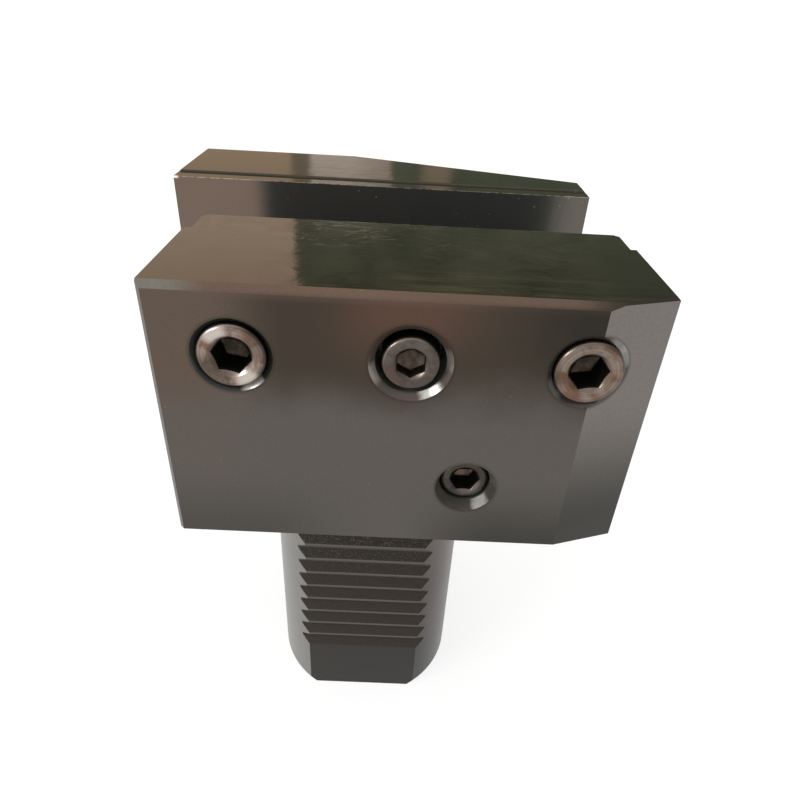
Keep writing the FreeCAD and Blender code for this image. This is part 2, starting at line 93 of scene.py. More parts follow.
class Graph:
    """A small maker of shader nodes for one material or world."""

    def __init__(self, tree: bpy.types.NodeTree) -> None:
        """Starts on an empty tree."""
        self.tree = tree
        tree.nodes.clear()

    def feed(self, socket: Socket, value: object) -> None:
        """Links a socket to another, or sets its value.

        Args:
            socket: the input to feed.
            value: a socket, a number, a colour or a vector.
        """
        if isinstance(value, Socket):
            self.tree.links.new(value, socket)
        elif isinstance(value, (tuple, list)) and socket.type == "RGBA":
            socket.default_value = (*value, 1.0)
        else:
            socket.default_value = value

    def fill(self, node: bpy.types.Node, feeds: Feeds) -> None:
        """Feeds several inputs of a node, by name or by number."""
        for key, value in feeds.items():
            self.feed(node.inputs[key], value)

    def add(self, kind: str, feeds: Optional[Feeds] = None, **props: object) -> bpy.types.Node:
        """Adds a node.

        Args:
            kind: the node's type name, without its ShaderNode start.
            feeds: what goes into its inputs.
            props: settings of the node itself.

        Returns:
            The new node.
        """
        node = self.tree.nodes.new("ShaderNode" + kind)
        for key, value in props.items():
            setattr(node, key, value)
        self.fill(node, feeds or {})
        return node

    def math(self, how: str, a: Value, b: Value = 0.0) -> Socket:
        """One step of arithmetic. The second value counts where the operation has one."""
        return self.add("Math", {0: a, 1: b}, operation=how).outputs[0]

    def times(self, *values: Value) -> Socket:
        """The product of several values."""
        return reduce(partial(self.math, "MULTIPLY"), values)

    def most(self, *values: Value) -> Socket:
        """The largest of several values."""
        return reduce(partial(self.math, "MAXIMUM"), values)

    def apart(self, value: Value, centre: float) -> Socket:
        """How far a value is from a centre, either way."""
        return self.math("ABSOLUTE", self.math("SUBTRACT", value, centre))

    def rest(self, share: Value) -> Socket:
        """What a share leaves of 1."""
        return self.math("SUBTRACT", 1.0, share)

    def reach(self, across: Value, up: Value) -> Socket:
        """How far a place lies from a centre, from its distances across and up."""
        return self.math("SQRT", self.math("ADD", self.times(across, across), self.times(up, up)))

    def bearing(self, across: Value, up: Value, out: Value, degrees: float) -> Socket:
        """How closely a place lies in one direction from a centre.

        Args:
            across: its distance across from the centre.
            up: its distance above it.
            out: its whole distance from it.
            degrees: the direction, from +X towards +Z.

        Returns:
            The cosine of the angle between.
        """
        angle = math.radians(degrees)
        ahead = self.math("ADD", self.times(across, math.cos(angle)), self.times(up, math.sin(angle)))
        return self.math("DIVIDE", ahead, self.math("MAXIMUM", out, 0.1))

    def rise(self, value: Value, low: float, high: float, start: float = 0.0,
             end: float = 1.0) -> Socket:
        """A smooth step, up or down.

        Args:
            value: what is measured.
            low: where the step starts.
            high: where it ends.
            start: result below the step.
            end: result above it.

        Returns:
            The stepped value.
        """
        if low > high:
            low, high, start, end = high, low, end, start
        feeds = {"Value": value, "From Min": low, "From Max": high, "To Min": start, "To Max": end}
        return self.add("MapRange", feeds, interpolation_type="SMOOTHSTEP").outputs["Result"]

    def blend(self, share: Value, first: Tone, second: Tone) -> Socket:
        """Mixes two colours: a share of 0 gives the first, and 1 the second."""
        return self.add("Mix", {"Factor": share, 6: first, 7: second}, data_type="RGBA").outputs[2]

    def layers(self, colour: Tone, *steps: Tuple[Value, Tone]) -> Socket:
        """Lays tones over a colour one after another, each by its own share."""
        return reduce(lambda below, step: self.blend(step[0], below, step[1]), steps, colour)

    def number(self, share: Value, first: Value, second: Value) -> Socket:
        """Mixes two numbers in the same way."""
        return self.add("Mix", {"Factor": share, 2: first, 3: second}, data_type="FLOAT").outputs[0]

    def scaled(self, vector: Socket, size: Sequence[float]) -> Socket:
        """Stretches a vector by a factor for each axis."""
        return self.add("Mapping", {"Vector": vector, "Scale": size}, vector_type="POINT").outputs[0]

    def shifted(self, vector: Socket, move: Sequence[float]) -> Socket:
        """Moves a vector."""
        return self.add("VectorMath", {0: vector, 1: move}, operation="ADD").outputs[0]

    def along(self, vector: Socket, way: Sequence[float]) -> Socket:
        """How far a vector goes in a direction."""
        return self.add("VectorMath", {0: vector, 1: way}, operation="DOT_PRODUCT").outputs["Value"]

    def split(self, vector: Socket) -> Sequence[Socket]:
        """The three parts of a vector."""
        return self.add("SeparateXYZ", {0: vector}).outputs

    def cloud(self, vector: Socket, scale: float, detail: float = 3.0, rough: float = 0.5,
              bend: float = 0.0) -> Socket:
        """Cloudy noise from 0 to 1.

        Args:
            vector: where it is read.
            scale: how fine it is.
            detail: how many finer layers it has.
            rough: how strong these are.
            bend: how much it is distorted.

        Returns:
            The noise.
        """
        feeds = {"Vector": vector, "Scale": scale, "Detail": detail, "Roughness": rough,
                 "Distortion": bend}
        return self.add("TexNoise", feeds).outputs[0]

    def spot(self) -> Spot:
        """The shaded point, in its own piece's axes.

        Returns:
            The point.
        """
        source = self.add("TexCoord").outputs
        feeds = {0: source["Object"], "Scale": 1.0 / MM}
        place = self.add("VectorMath", feeds, operation="SCALE").outputs[0]
        return Spot(self, place, *self.split(place), source["Normal"])

    def upward(self, at: Spot) -> Socket:
        """A mask of what faces straight up."""
        return self.rise(self.split(at.facing)[2], 0.90, 0.97)

    def relief(self, height: Socket, depth_mm: float, under: Optional[Socket] = None) -> Socket:
        """Turns a height into a slight relief.

        Args:
            height: the height, from 0 to 1.
            depth_mm: how deep 1 is.
            under: another relief that this one lies on.

        Returns:
            The changed surface direction.
        """
        feeds = {"Strength": 1.0, "Distance": depth_mm * MM, "Height": height}
        if under is not None:
            feeds["Normal"] = under
        return self.add("Bump", feeds).outputs[0]

    def paint(self, shader: bpy.types.Node, colour: Tone, rough: Value, metallic: Value,
              facing: Socket) -> None:
        """Feeds a surface shader its colour, roughness, share of metal and surface direction."""
        self.fill(shader, {"Base Color": colour, "Roughness": rough, "Metallic": metallic,
                           "Normal": facing})


def new_material(name: str) -> Tuple[bpy.types.Material, Graph, bpy.types.Node]:
    """A material with one surface shader.

    Args:
        name: its name.

    Returns:
        The material, its graph and the surface shader.
    """
    material = bpy.data.materials.new(name)
    material.use_nodes = True
    graph = Graph(material.node_tree)
    shader = graph.add("BsdfPrincipled")
    graph.add("OutputMaterial", {"Surface": shader.outputs[0]})
    return material, graph, shader


# Finishes


@dataclass(frozen=True)
class Polish:
    """What the polishing left on the tops of the jaw, the strip and the fixed jaw alike."""

    ripple_mm: float = 0.036
    arcs_share: float = 0.20
    tan: Colour = (0.150, 0.116, 0.086)
    shade: Colour = (0.05, 0.045, 0.035)
    dulled: Colour = (0.070, 0.055, 0.045)

    def ripple(self, at: Spot) -> Socket:
        """The slight unevenness of a hand-polished face, stronger away from the short end.

        Args:
            at: the shaded point.

        Returns:
            The changed surface direction.
        """
        g = at.g
        swirl = g.cloud(g.scaled(at.mm, (1.0, 1.5, 1.0)), 0.16, 3.0, 0.5, 1.2)
        return g.relief(g.times(swirl, g.rise(at.x, -20.0, -13.0, 0.25, 1.0)), self.ripple_mm)

    def scratches(self, at: Spot) -> Socket:
        """A few thin curved scratches across the joint of the jaw and the strip.

        Args:
            at: the shaded point.

        Returns:
            A mask, 1 on a scratch.
        """
        g = at.g
        flow = g.cloud(g.scaled(at.mm, (0.16, 0.34, 0.34)), 1.0, 1.0, 0.5, 2.2)
        thin = g.rise(g.apart(flow, 0.5), 0.010, 0.003)
        broken = g.rise(g.cloud(g.scaled(at.mm, (0.16, 0.4, 0.4)), 1.0, 2.0), 0.50, 0.60)
        lengthwise = g.times(g.rise(at.x, -18.0, -14.0), g.rise(at.x, 36.0, 26.0))
        return g.times(thin, broken, lengthwise, g.rise(at.y, -14.0, -9.0), g.rise(at.y, 10.0, 2.0))

    def arcs(self, at: Spot) -> Socket:
        """The faint arcs that a round polishing pad leaves, away from the short end.

        Args:
            at: the shaded point.

        Returns:
            How much they darken it.
        """
        g = at.g
        feeds = {"Vector": g.scaled(at.mm, (1.0, 1.5, 1.0)), "Scale": 0.075, "Randomness": 1.0}
        cells = g.add("TexVoronoi", feeds, feature="F1")
        wander = g.times(g.cloud(at.mm, 0.3, 2.0), 5.0)
        spacing = g.math("ADD", g.times(cells.outputs["Distance"], 24.0), wander)
        soft = g.rise(g.cloud(at.mm, 0.12, 2.0), 0.36, 0.60)
        rings = g.rise(g.math("SINE", spacing), -0.6, 1.0)
        return g.times(rings, soft, g.rise(at.x, -15.0, -9.0), self.arcs_share)


@dataclass(frozen=True)
class Mouth:
    """One hole in the front face, as the finish sees it.

    Its screw's solid, its outer radius in millimetres, the tone of its cone, and where painted
    highlights lie on the cone as bright bare metal: pairs of a direction in degrees and a strength.
    """

    node: str
    radius: float
    cone: Colour = (0.016, 0.018, 0.014)
    painted_highlights: Profile = ()


@dataclass(frozen=True)
class Areas:
    """A shaded point of the holder, its patchy noise, and masks that are 1 on their kind of surface."""

    at: Spot
    patchy: Socket
    top: Socket
    dull_end: Socket
    facet: Socket
    bevel: Socket
    seat: Socket
    seat_middle: Socket
    riser: Socket
    shank: Socket
    flat: Socket
    tilted: Socket


@dataclass(frozen=True)
class BlackenedSteel:
    """Blackened and oiled steel of the holder: polished on top, ground in front, turned below."""

    mouths: Tuple[Mouth, ...]
    name: str = "blackened_steel"
    polish: Polish = Polish()
    low: Colour = (0.106, 0.096, 0.086)
    high: Colour = (0.056, 0.044, 0.034)
    red: Colour = (0.112, 0.062, 0.045)
    side: Colour = (0.120, 0.091, 0.073)
    side_low: Colour = (0.112, 0.097, 0.087)
    foot: Colour = (0.052, 0.050, 0.046)
    # painted reflection: a dark band high on the front face's right
    dark_reflection: Colour = (0.030, 0.027, 0.022)
    lit: Colour = (0.125, 0.088, 0.068)
    bevel: Colour = (0.148, 0.098, 0.072)
    bevel_far: Colour = (0.132, 0.090, 0.066)
    # painted reflection on the front bevel: bevel_dark at its right end, bevel_end pale at its left end
    bevel_dark: Colour = (0.040, 0.037, 0.028)
    bevel_end: Colour = (0.185, 0.178, 0.150)
    facet: Colour = (0.180, 0.164, 0.150)
    seat: Colour = (0.158, 0.116, 0.092)
    seat_far: Colour = (0.124, 0.112, 0.098)
    seat_dark: Colour = (0.036, 0.040, 0.038)
    riser: Colour = (0.100, 0.094, 0.070)
    # painted light and shade on the shank's round side: lighter on the left, darker to the right
    shank: Colour = (0.215, 0.207, 0.195)
    shank_far: Colour = (0.105, 0.086, 0.080)
    shank_low: Colour = (0.071, 0.056, 0.052)
    flank: Colour = (0.025, 0.018, 0.013)
    grit: Colour = (0.170, 0.150, 0.130)
    tip: Colour = (0.110, 0.102, 0.092)
    end_flat: Colour = (0.044, 0.042, 0.038)
    mottle: Colour = (0.04, 0.034, 0.030)
    around_hole: Colour = (0.026, 0.024, 0.019)
    oil: Colour = (0.070, 0.082, 0.060)
    # painted highlight: bright bare-metal tone laid on the hole cones
    highlight_tone: Colour = (0.520, 0.505, 0.470)
    bare: Colour = (0.520, 0.430, 0.360)
    bare_corner: Colour = (0.90, 0.88, 0.82)
    line_light: Colour = (0.42, 0.31, 0.23)
    line_dark: Colour = (0.05, 0.045, 0.035)
    facet_way: Tuple[float, float, float] = (3.3, -10.3, 0.0)
    bevel_way: Tuple[float, float, float] = (0.0, -1.0, 1.0)

    def areas(self, at: Spot) -> Areas:
        """Finds each kind of surface by its place and by the way it faces.

        Args:
            at: the shaded point.

        Returns:
            The masks.
        """
        g = at.g
        nx, ny, nz = g.split(at.facing)
        top = g.times(g.upward(at), g.rise(at.z, SLOT_Z - 2.0, SLOT_Z - 1.0))
        below = g.rise(at.z, 0.05, -0.05)
        no_side = g.rise(g.math("ABSOLUTE", nx), 0.05, 0.02)
        on_facet = g.rise(g.along(at.facing, Vector(self.facet_way).normalized()), 0.990, 0.997)
        on_bevel = g.rise(g.along(at.facing, Vector(self.bevel_way).normalized()), 0.90, 0.97)
        return Areas(
            at=at,
            patchy=g.cloud(at.mm, 0.20, 4.0, 0.6),
            top=top,
            dull_end=g.times(top, g.rise(at.x, 29.0, 38.0), g.rise(at.y, 4.0, -2.0)),
            facet=g.times(on_facet, g.rise(at.z, -0.05, 0.05)),
            bevel=g.times(on_bevel, g.rise(at.z, TOP_Z - 2.0, TOP_Z - 1.4)),
            seat=g.times(g.rise(ny, -0.9, -0.97), g.rise(at.y, SEAT_Y - 1.0, SEAT_Y - 0.2),
                         g.rise(at.z, SLOT_Z - 1.0, SLOT_Z)),
            seat_middle=g.times(g.rise(at.x, -27.0, -22.0), g.rise(at.x, 41.0, 31.0)),
            riser=g.times(g.rise(ny, -0.8, -0.95), g.rise(at.y, STEP_Y - 0.4, STEP_Y - 0.1),
                          g.rise(at.z, STEP_Z - 0.25, STEP_Z - 0.05)),
            shank=below,
            flat=g.times(below, g.rise(at.y, -13.6, -14.2), no_side),
            tilted=g.rise(g.math("ABSOLUTE", nz), 0.3, 0.5),
        )

    def front_tone(self, at: Spot, wide: Value) -> Socket:
        """The front face, its tones a painted reflection: brown high up, redder in the middle, grey below,
        dark at the corners, with a painted highlight along its top.

        Args:
            at: the shaded point.
            wide: broad noise that keeps the changes from being even.

        Returns:
            The colour.
        """
        g = at.g
        drift = g.math("MULTIPLY", g.math("SUBTRACT", wide, 0.5), 12.0)
        height = g.math("ADD", at.z, drift)
        middle = g.times(g.rise(g.apart(at.x, 6.0), 14.0, 2.0), g.rise(height, 30.0, 43.0), 0.8)
        right = g.times(g.rise(g.math("ADD", at.x, drift), 15.0, 31.0), g.rise(at.z, 28.0, 37.0), 0.9)
        left = g.times(g.rise(at.x, -11.0, -22.0), g.rise(at.z, 2.0, 12.0), 0.85)
        lit = g.times(g.rise(at.z, TOP_Z - 2.1, TOP_Z - 1.1), g.rise(at.x, 24.0, 6.0, 0.1, 0.35))
        foot = g.rise(at.z, 15.0, -1.0)
        low_right = g.times(foot, g.rise(at.x, 4.0, 22.0))
        low_left = g.times(foot, g.rise(at.x, 4.0, -18.0), 0.6)
        # painted reflection: these front-face tones stand in for what the face mirrors, lit being a
        # painted highlight along its top
        return g.layers(
            self.low,
            (g.rise(height, 23.0, 33.0), self.high),
            (middle, self.red),
            (right, self.dark_reflection),
            (left, g.blend(g.rise(height, 22.0, 32.0), self.side_low, self.side)),
            (lit, self.lit),
            (g.most(low_right, low_left), self.foot),
        )

    def head_tone(self, on: Areas) -> Socket:
        """The head: front, sides, tops, corner facet, front bevel, and the tool seat with its step.

        Args:
            on: where each kind of surface is.

        Returns:
            The colour.
        """
        g, at = on.at.g, on.at
        wide = g.cloud(at.mm, 0.05, 3.0, 0.55)
        plain = g.blend(g.rise(wide, 0.35, 0.65, 0.15, 0.55), self.side_low, self.high)
        colour = g.layers(
            plain,
            (g.rise(at.y, -12.0, -24.0), self.front_tone(at, wide)),
            (on.top, g.blend(g.rise(on.patchy, 0.35, 0.7, 0.0, 0.22), self.polish.tan, self.low)),
            (on.facet, g.blend(g.rise(at.z, 30.0, 4.0), self.facet, self.foot)),
        )
        # painted reflection along the front bevel: pale at its left end, dark towards its right end
        bevel_tone = g.layers(
            self.bevel,
            (g.rise(at.x, 0.0, 12.0), self.bevel_far),
            (g.rise(at.x, 27.0, 34.0, 0.0, 0.9), self.bevel_dark),
            (g.rise(at.z, TOP_Z - 0.55, TOP_Z - 1.05, 0.0, 0.5), colour),
            (g.rise(at.x, -20.0, -28.0), self.bevel_end),
        )
        seat_tone = g.layers(
            self.seat,
            (g.rise(at.x, 0.0, 10.0), self.seat_far),
            (g.times(on.seat_middle, 0.9), self.seat_dark),
        )
        behind_step = g.rise(at.y, STEP_Y - 1.2, STEP_Y - 0.2)
        far_end = g.times(on.top, behind_step, g.rise(at.x, 14.0, 34.0), 0.6)
        return g.layers(colour, (on.bevel, bevel_tone), (on.seat, seat_tone), (on.riser, self.riser),
                        (far_end, self.riser))

    def shank_over(self, on: Areas, colour: Tone) -> Socket:
        """Adds the shank: its round side, with painted light on the left, painted shade to the right and
        darker lower down, and the toothed flat.

        Args:
            on: where each kind of surface is.
            colour: the colour so far.

        Returns:
            The new colour.
        """
        g, at = on.at.g, on.at
        # painted light and shade: the round side is lighter on the left and darker to the right; darker
        # lower down
        far = g.layers(
            self.shank_far,
            (g.rise(at.z, -12.0, -34.0), self.shank_low),
            (g.times(g.rise(at.z, -38.0, -54.0), g.rise(at.x, 19.6, 17.0)), self.end_flat),
        )
        colour = g.blend(on.shank, colour, g.blend(g.rise(at.x, -8.0, 13.0), self.shank, far))
        tips = g.blend(g.rise(at.z, -46.6, -47.2), self.tip, self.end_flat)
        grains = g.rise(g.cloud(at.mm, 3.4, 1.0, 0.6), 0.57, 0.66)
        grit = g.times(grains, g.rise(at.z, -30.0, -10.0, 0.08, 0.6))
        flanks = g.blend(grit, self.flank, self.grit)
        return g.blend(on.flat, colour, g.blend(on.tilted, tips, flanks))

    def mouths_over(self, at: Spot, colour: Tone) -> Tuple[Socket, Socket, Socket]:
        """Adds each hole's cone and bore, with painted highlights laid on the cone as bright bare metal.

        Args:
            at: the shaded point.
            colour: the colour so far.

        Returns:
            The new colour, the mask of the dark bores and the mask of the cones.
        """
        g = at.g
        behind = g.times(g.rise(at.y, FRONT_Y + 0.005, FRONT_Y + 0.06), g.rise(at.y, -1.5, -3.0))
        before = g.rise(at.y, FRONT_Y + 5.0, FRONT_Y + 3.0)
        coned = g.rise(g.split(at.facing)[1], -0.10, -0.22)
        bores: Value = 0.0
        cones: Value = 0.0
        for mouth in self.mouths:
            centre = outer_end(mouth.node)
            across = g.math("SUBTRACT", at.x, centre.x)
            up = g.math("SUBTRACT", at.z, centre.z)
            out = g.reach(across, up)
            around = g.rise(out, mouth.radius + 0.6, mouth.radius)
            colour = g.blend(g.times(before, around, 0.4), colour, self.around_hole)
            within = g.times(g.rise(out, mouth.radius + 0.15, mouth.radius + 0.05), behind)
            cone = g.times(within, coned)
            bore = g.math("SUBTRACT", within, cone)
            colour = g.blend(bore, g.blend(cone, colour, mouth.cone), self.oil)
            # painted highlights: bright bare metal laid on the cone where the lamp's highlights fall
            for degrees, strength in mouth.painted_highlights:
                ragged = g.times(g.cloud(at.mm, 0.9, 2.0), 0.05)
                ahead = g.math("ADD", g.bearing(across, up, out, degrees), ragged)
                colour = g.blend(g.times(cone, g.rise(ahead, 0.945, 1.02), strength), colour, self.highlight_tone)
            bores = g.most(bores, bore)
            cones = g.most(cones, cone)
        return colour, bores, cones

    def wear_over(self, on: Areas, colour: Tone) -> Socket:
        """Adds fine mottling, bright specks, few in front, and bare steel on the seat's upper edge.

        Args:
            on: where each kind of surface is.
            colour: the colour so far.

        Returns:
            The new colour.
        """
        g, at = on.at.g, on.at
        fine = g.cloud(at.mm, 2.6, 3.0, 0.6)
        specks = g.rise(g.cloud(at.mm, 1.7, 0.0), 0.874, 0.886)
        fewer = g.rise(at.y, FRONT_Y + 0.5, FRONT_Y + 1.0, 0.15, 0.5)
        specks = g.times(specks, fewer, g.rest(on.shank))
        worn = g.rise(g.cloud(g.scaled(at.mm, (0.8, 1.0, 1.0)), 1.0, 3.0, 0.7), 0.34, 0.60)
        edge = g.times(g.rise(g.apart(at.y, SEAT_Y), 0.22, 0.12),
                       g.rise(g.apart(at.z, STEP_Z), 0.15, 0.06))
        corner = g.times(g.rise(at.x, LEFT_X + 1.2, LEFT_X + 0.6),
                         g.rise(at.z, STEP_Z - 0.55, STEP_Z - 0.25),
                         g.rise(g.apart(at.y, SEAT_Y + 0.1), 0.7, 0.4))
        return g.layers(
            colour,
            (g.rise(fine, 0.35, 0.75, 0.0, 0.14), self.mottle),
            (specks, self.bare),
            (g.times(edge, worn, 0.8), self.bare),
            (corner, self.bare_corner),
        )

    def top_over(self, on: Areas, colour: Tone) -> Socket:
        """Adds long soft lines near the front edge of the top, polishing streaks whose light and dark are
        a painted reflection, its duller right end, and the arcs.

        Args:
            on: where each kind of surface is.
            colour: the colour so far.

        Returns:
            The new colour.
        """
        g, at = on.at.g, on.at
        # polishing streaks: their light and dark lines are a painted reflection
        streak = g.cloud(g.scaled(at.mm, (0.035, 0.55, 0.55)), 1.0, 2.0, 0.5, 0.6)
        lined = g.times(on.top, g.rise(at.y, -19.0, -25.0), g.rise(at.x, -2.0, 12.0))
        return g.layers(
            colour,
            (g.times(g.rise(streak, 0.52, 0.66), lined, 0.6), self.line_light),
            (g.times(g.rise(streak, 0.46, 0.36), lined, 0.55), self.line_dark),
            (g.times(on.dull_end, 0.45), self.polish.dulled),
            (g.times(on.top, self.polish.arcs(at)), self.polish.shade),
        )

    def roughness(self, on: Areas) -> Socket:
        """How rough each kind of surface is, apart from the holes.

        Args:
            on: where each kind of surface is.

        Returns:
            The roughness.
        """
        g = on.at.g
        uneven = g.rise(on.patchy, 0.3, 0.7)
        rough = g.number(uneven, 0.24, 0.31)
        rough = g.number(on.top, rough, g.number(uneven, 0.055, 0.10))
        rough = g.number(on.bevel, rough, 0.26)
        rough = g.number(on.seat, rough, 0.19)
        rough = g.number(on.shank, rough, 0.34)
        rough = g.number(on.flat, rough, g.number(on.tilted, 0.36, 0.62))
        return g.number(g.times(on.dull_end, 0.7), rough, 0.24)

    def surface(self, on: Areas, holes: Value) -> Socket:
        """Relief: ground lines on the head, turning lines on the shank, grain on the flanks.

        Args:
            on: where each kind of surface is.
            holes: the mask of the holes, which have none of these.

        Returns:
            The changed surface direction.
        """
        g, at = on.at.g, on.at
        ground = g.cloud(g.scaled(at.mm, (0.35, 7.0, 7.0)), 1.0, 3.0, 0.6)
        upright = g.cloud(g.scaled(at.mm, (7.0, 7.0, 0.25)), 1.0, 3.0, 0.6)
        turned = g.cloud(g.scaled(at.mm, (0.10, 0.10, 9.0)), 1.0, 2.0, 0.6)
        lines = g.number(on.shank, g.number(on.top, upright, g.times(ground, 0.35)), turned)
        grain = g.cloud(at.mm, 5.5, 4.0, 0.7)
        height = g.number(g.times(on.flat, on.tilted), g.times(lines, 0.10), grain)
        height = g.times(height, g.rest(holes))
        height = g.math("ADD", height, g.times(self.polish.scratches(at), on.top))
        return g.relief(height, 0.030, self.polish.ripple(at))

    def make(self) -> bpy.types.Material:
        """Builds the finish.

        Returns:
            The material.
        """
        material, g, shader = new_material(self.name)
        on = self.areas(g.spot())
        colour = self.shank_over(on, self.head_tone(on))
        colour, bores, cones = self.mouths_over(on.at, colour)
        colour = self.top_over(on, self.wear_over(on, colour))
        rough = g.number(bores, g.number(cones, self.roughness(on), 0.22), 0.40)
        soft = g.most(g.times(on.flat, on.tilted), g.times(on.seat, on.seat_middle), on.riser, cones)
        metallic = g.number(bores, g.number(soft, 1.0, 0.35), 0.15)
        g.paint(shader, colour, rough, metallic, self.surface(on, g.most(cones, bores)))
        return material


@dataclass(frozen=True)
class PolishedStrip:
    """Blackened steel of the clamping strip, worn bright along its rear edge by tools."""

    name: str = "blackened_strip"
    polish: Polish = Polish()
    dark: Colour = (0.110, 0.092, 0.076)
    bare: Colour = (0.420, 0.340, 0.270)

    def make(self) -> bpy.types.Material:
        """Builds the finish.

        Returns:
            The material.
        """
        material, g, shader = new_material(self.name)
        at = g.spot()
        patchy = g.cloud(at.mm, 0.25, 4.0, 0.6)
        scratches = g.times(self.polish.scratches(at), g.upward(at))
        rub = g.times(g.rise(at.y, -0.45, -0.15), g.rise(at.z, TOP_Z - 0.5, TOP_Z - 0.2),
                      g.rise(patchy, 0.40, 0.6))
        colour = g.layers(
            self.polish.tan,
            (g.rise(patchy, 0.35, 0.68, 0.0, 0.6), self.dark),
            (self.polish.arcs(at), self.polish.shade),
            (g.rise(at.x, 29.0, 38.0, 0.0, 0.45), self.polish.dulled),
            (g.times(scratches, 0.8), self.bare),
            (g.times(rub, g.rise(at.x, -18.0, 0.0)), self.bare),
        )
        rough = g.number(g.rise(patchy, 0.3, 0.7), 0.06, 0.12)
        lines = g.times(g.cloud(g.scaled(at.mm, (0.3, 7.0, 7.0)), 1.0, 3.0, 0.6), 0.06)
        height = g.math("ADD", lines, scratches)
        g.paint(shader, colour, rough, 1.0, g.relief(height, 0.030, self.polish.ripple(at)))
        return material


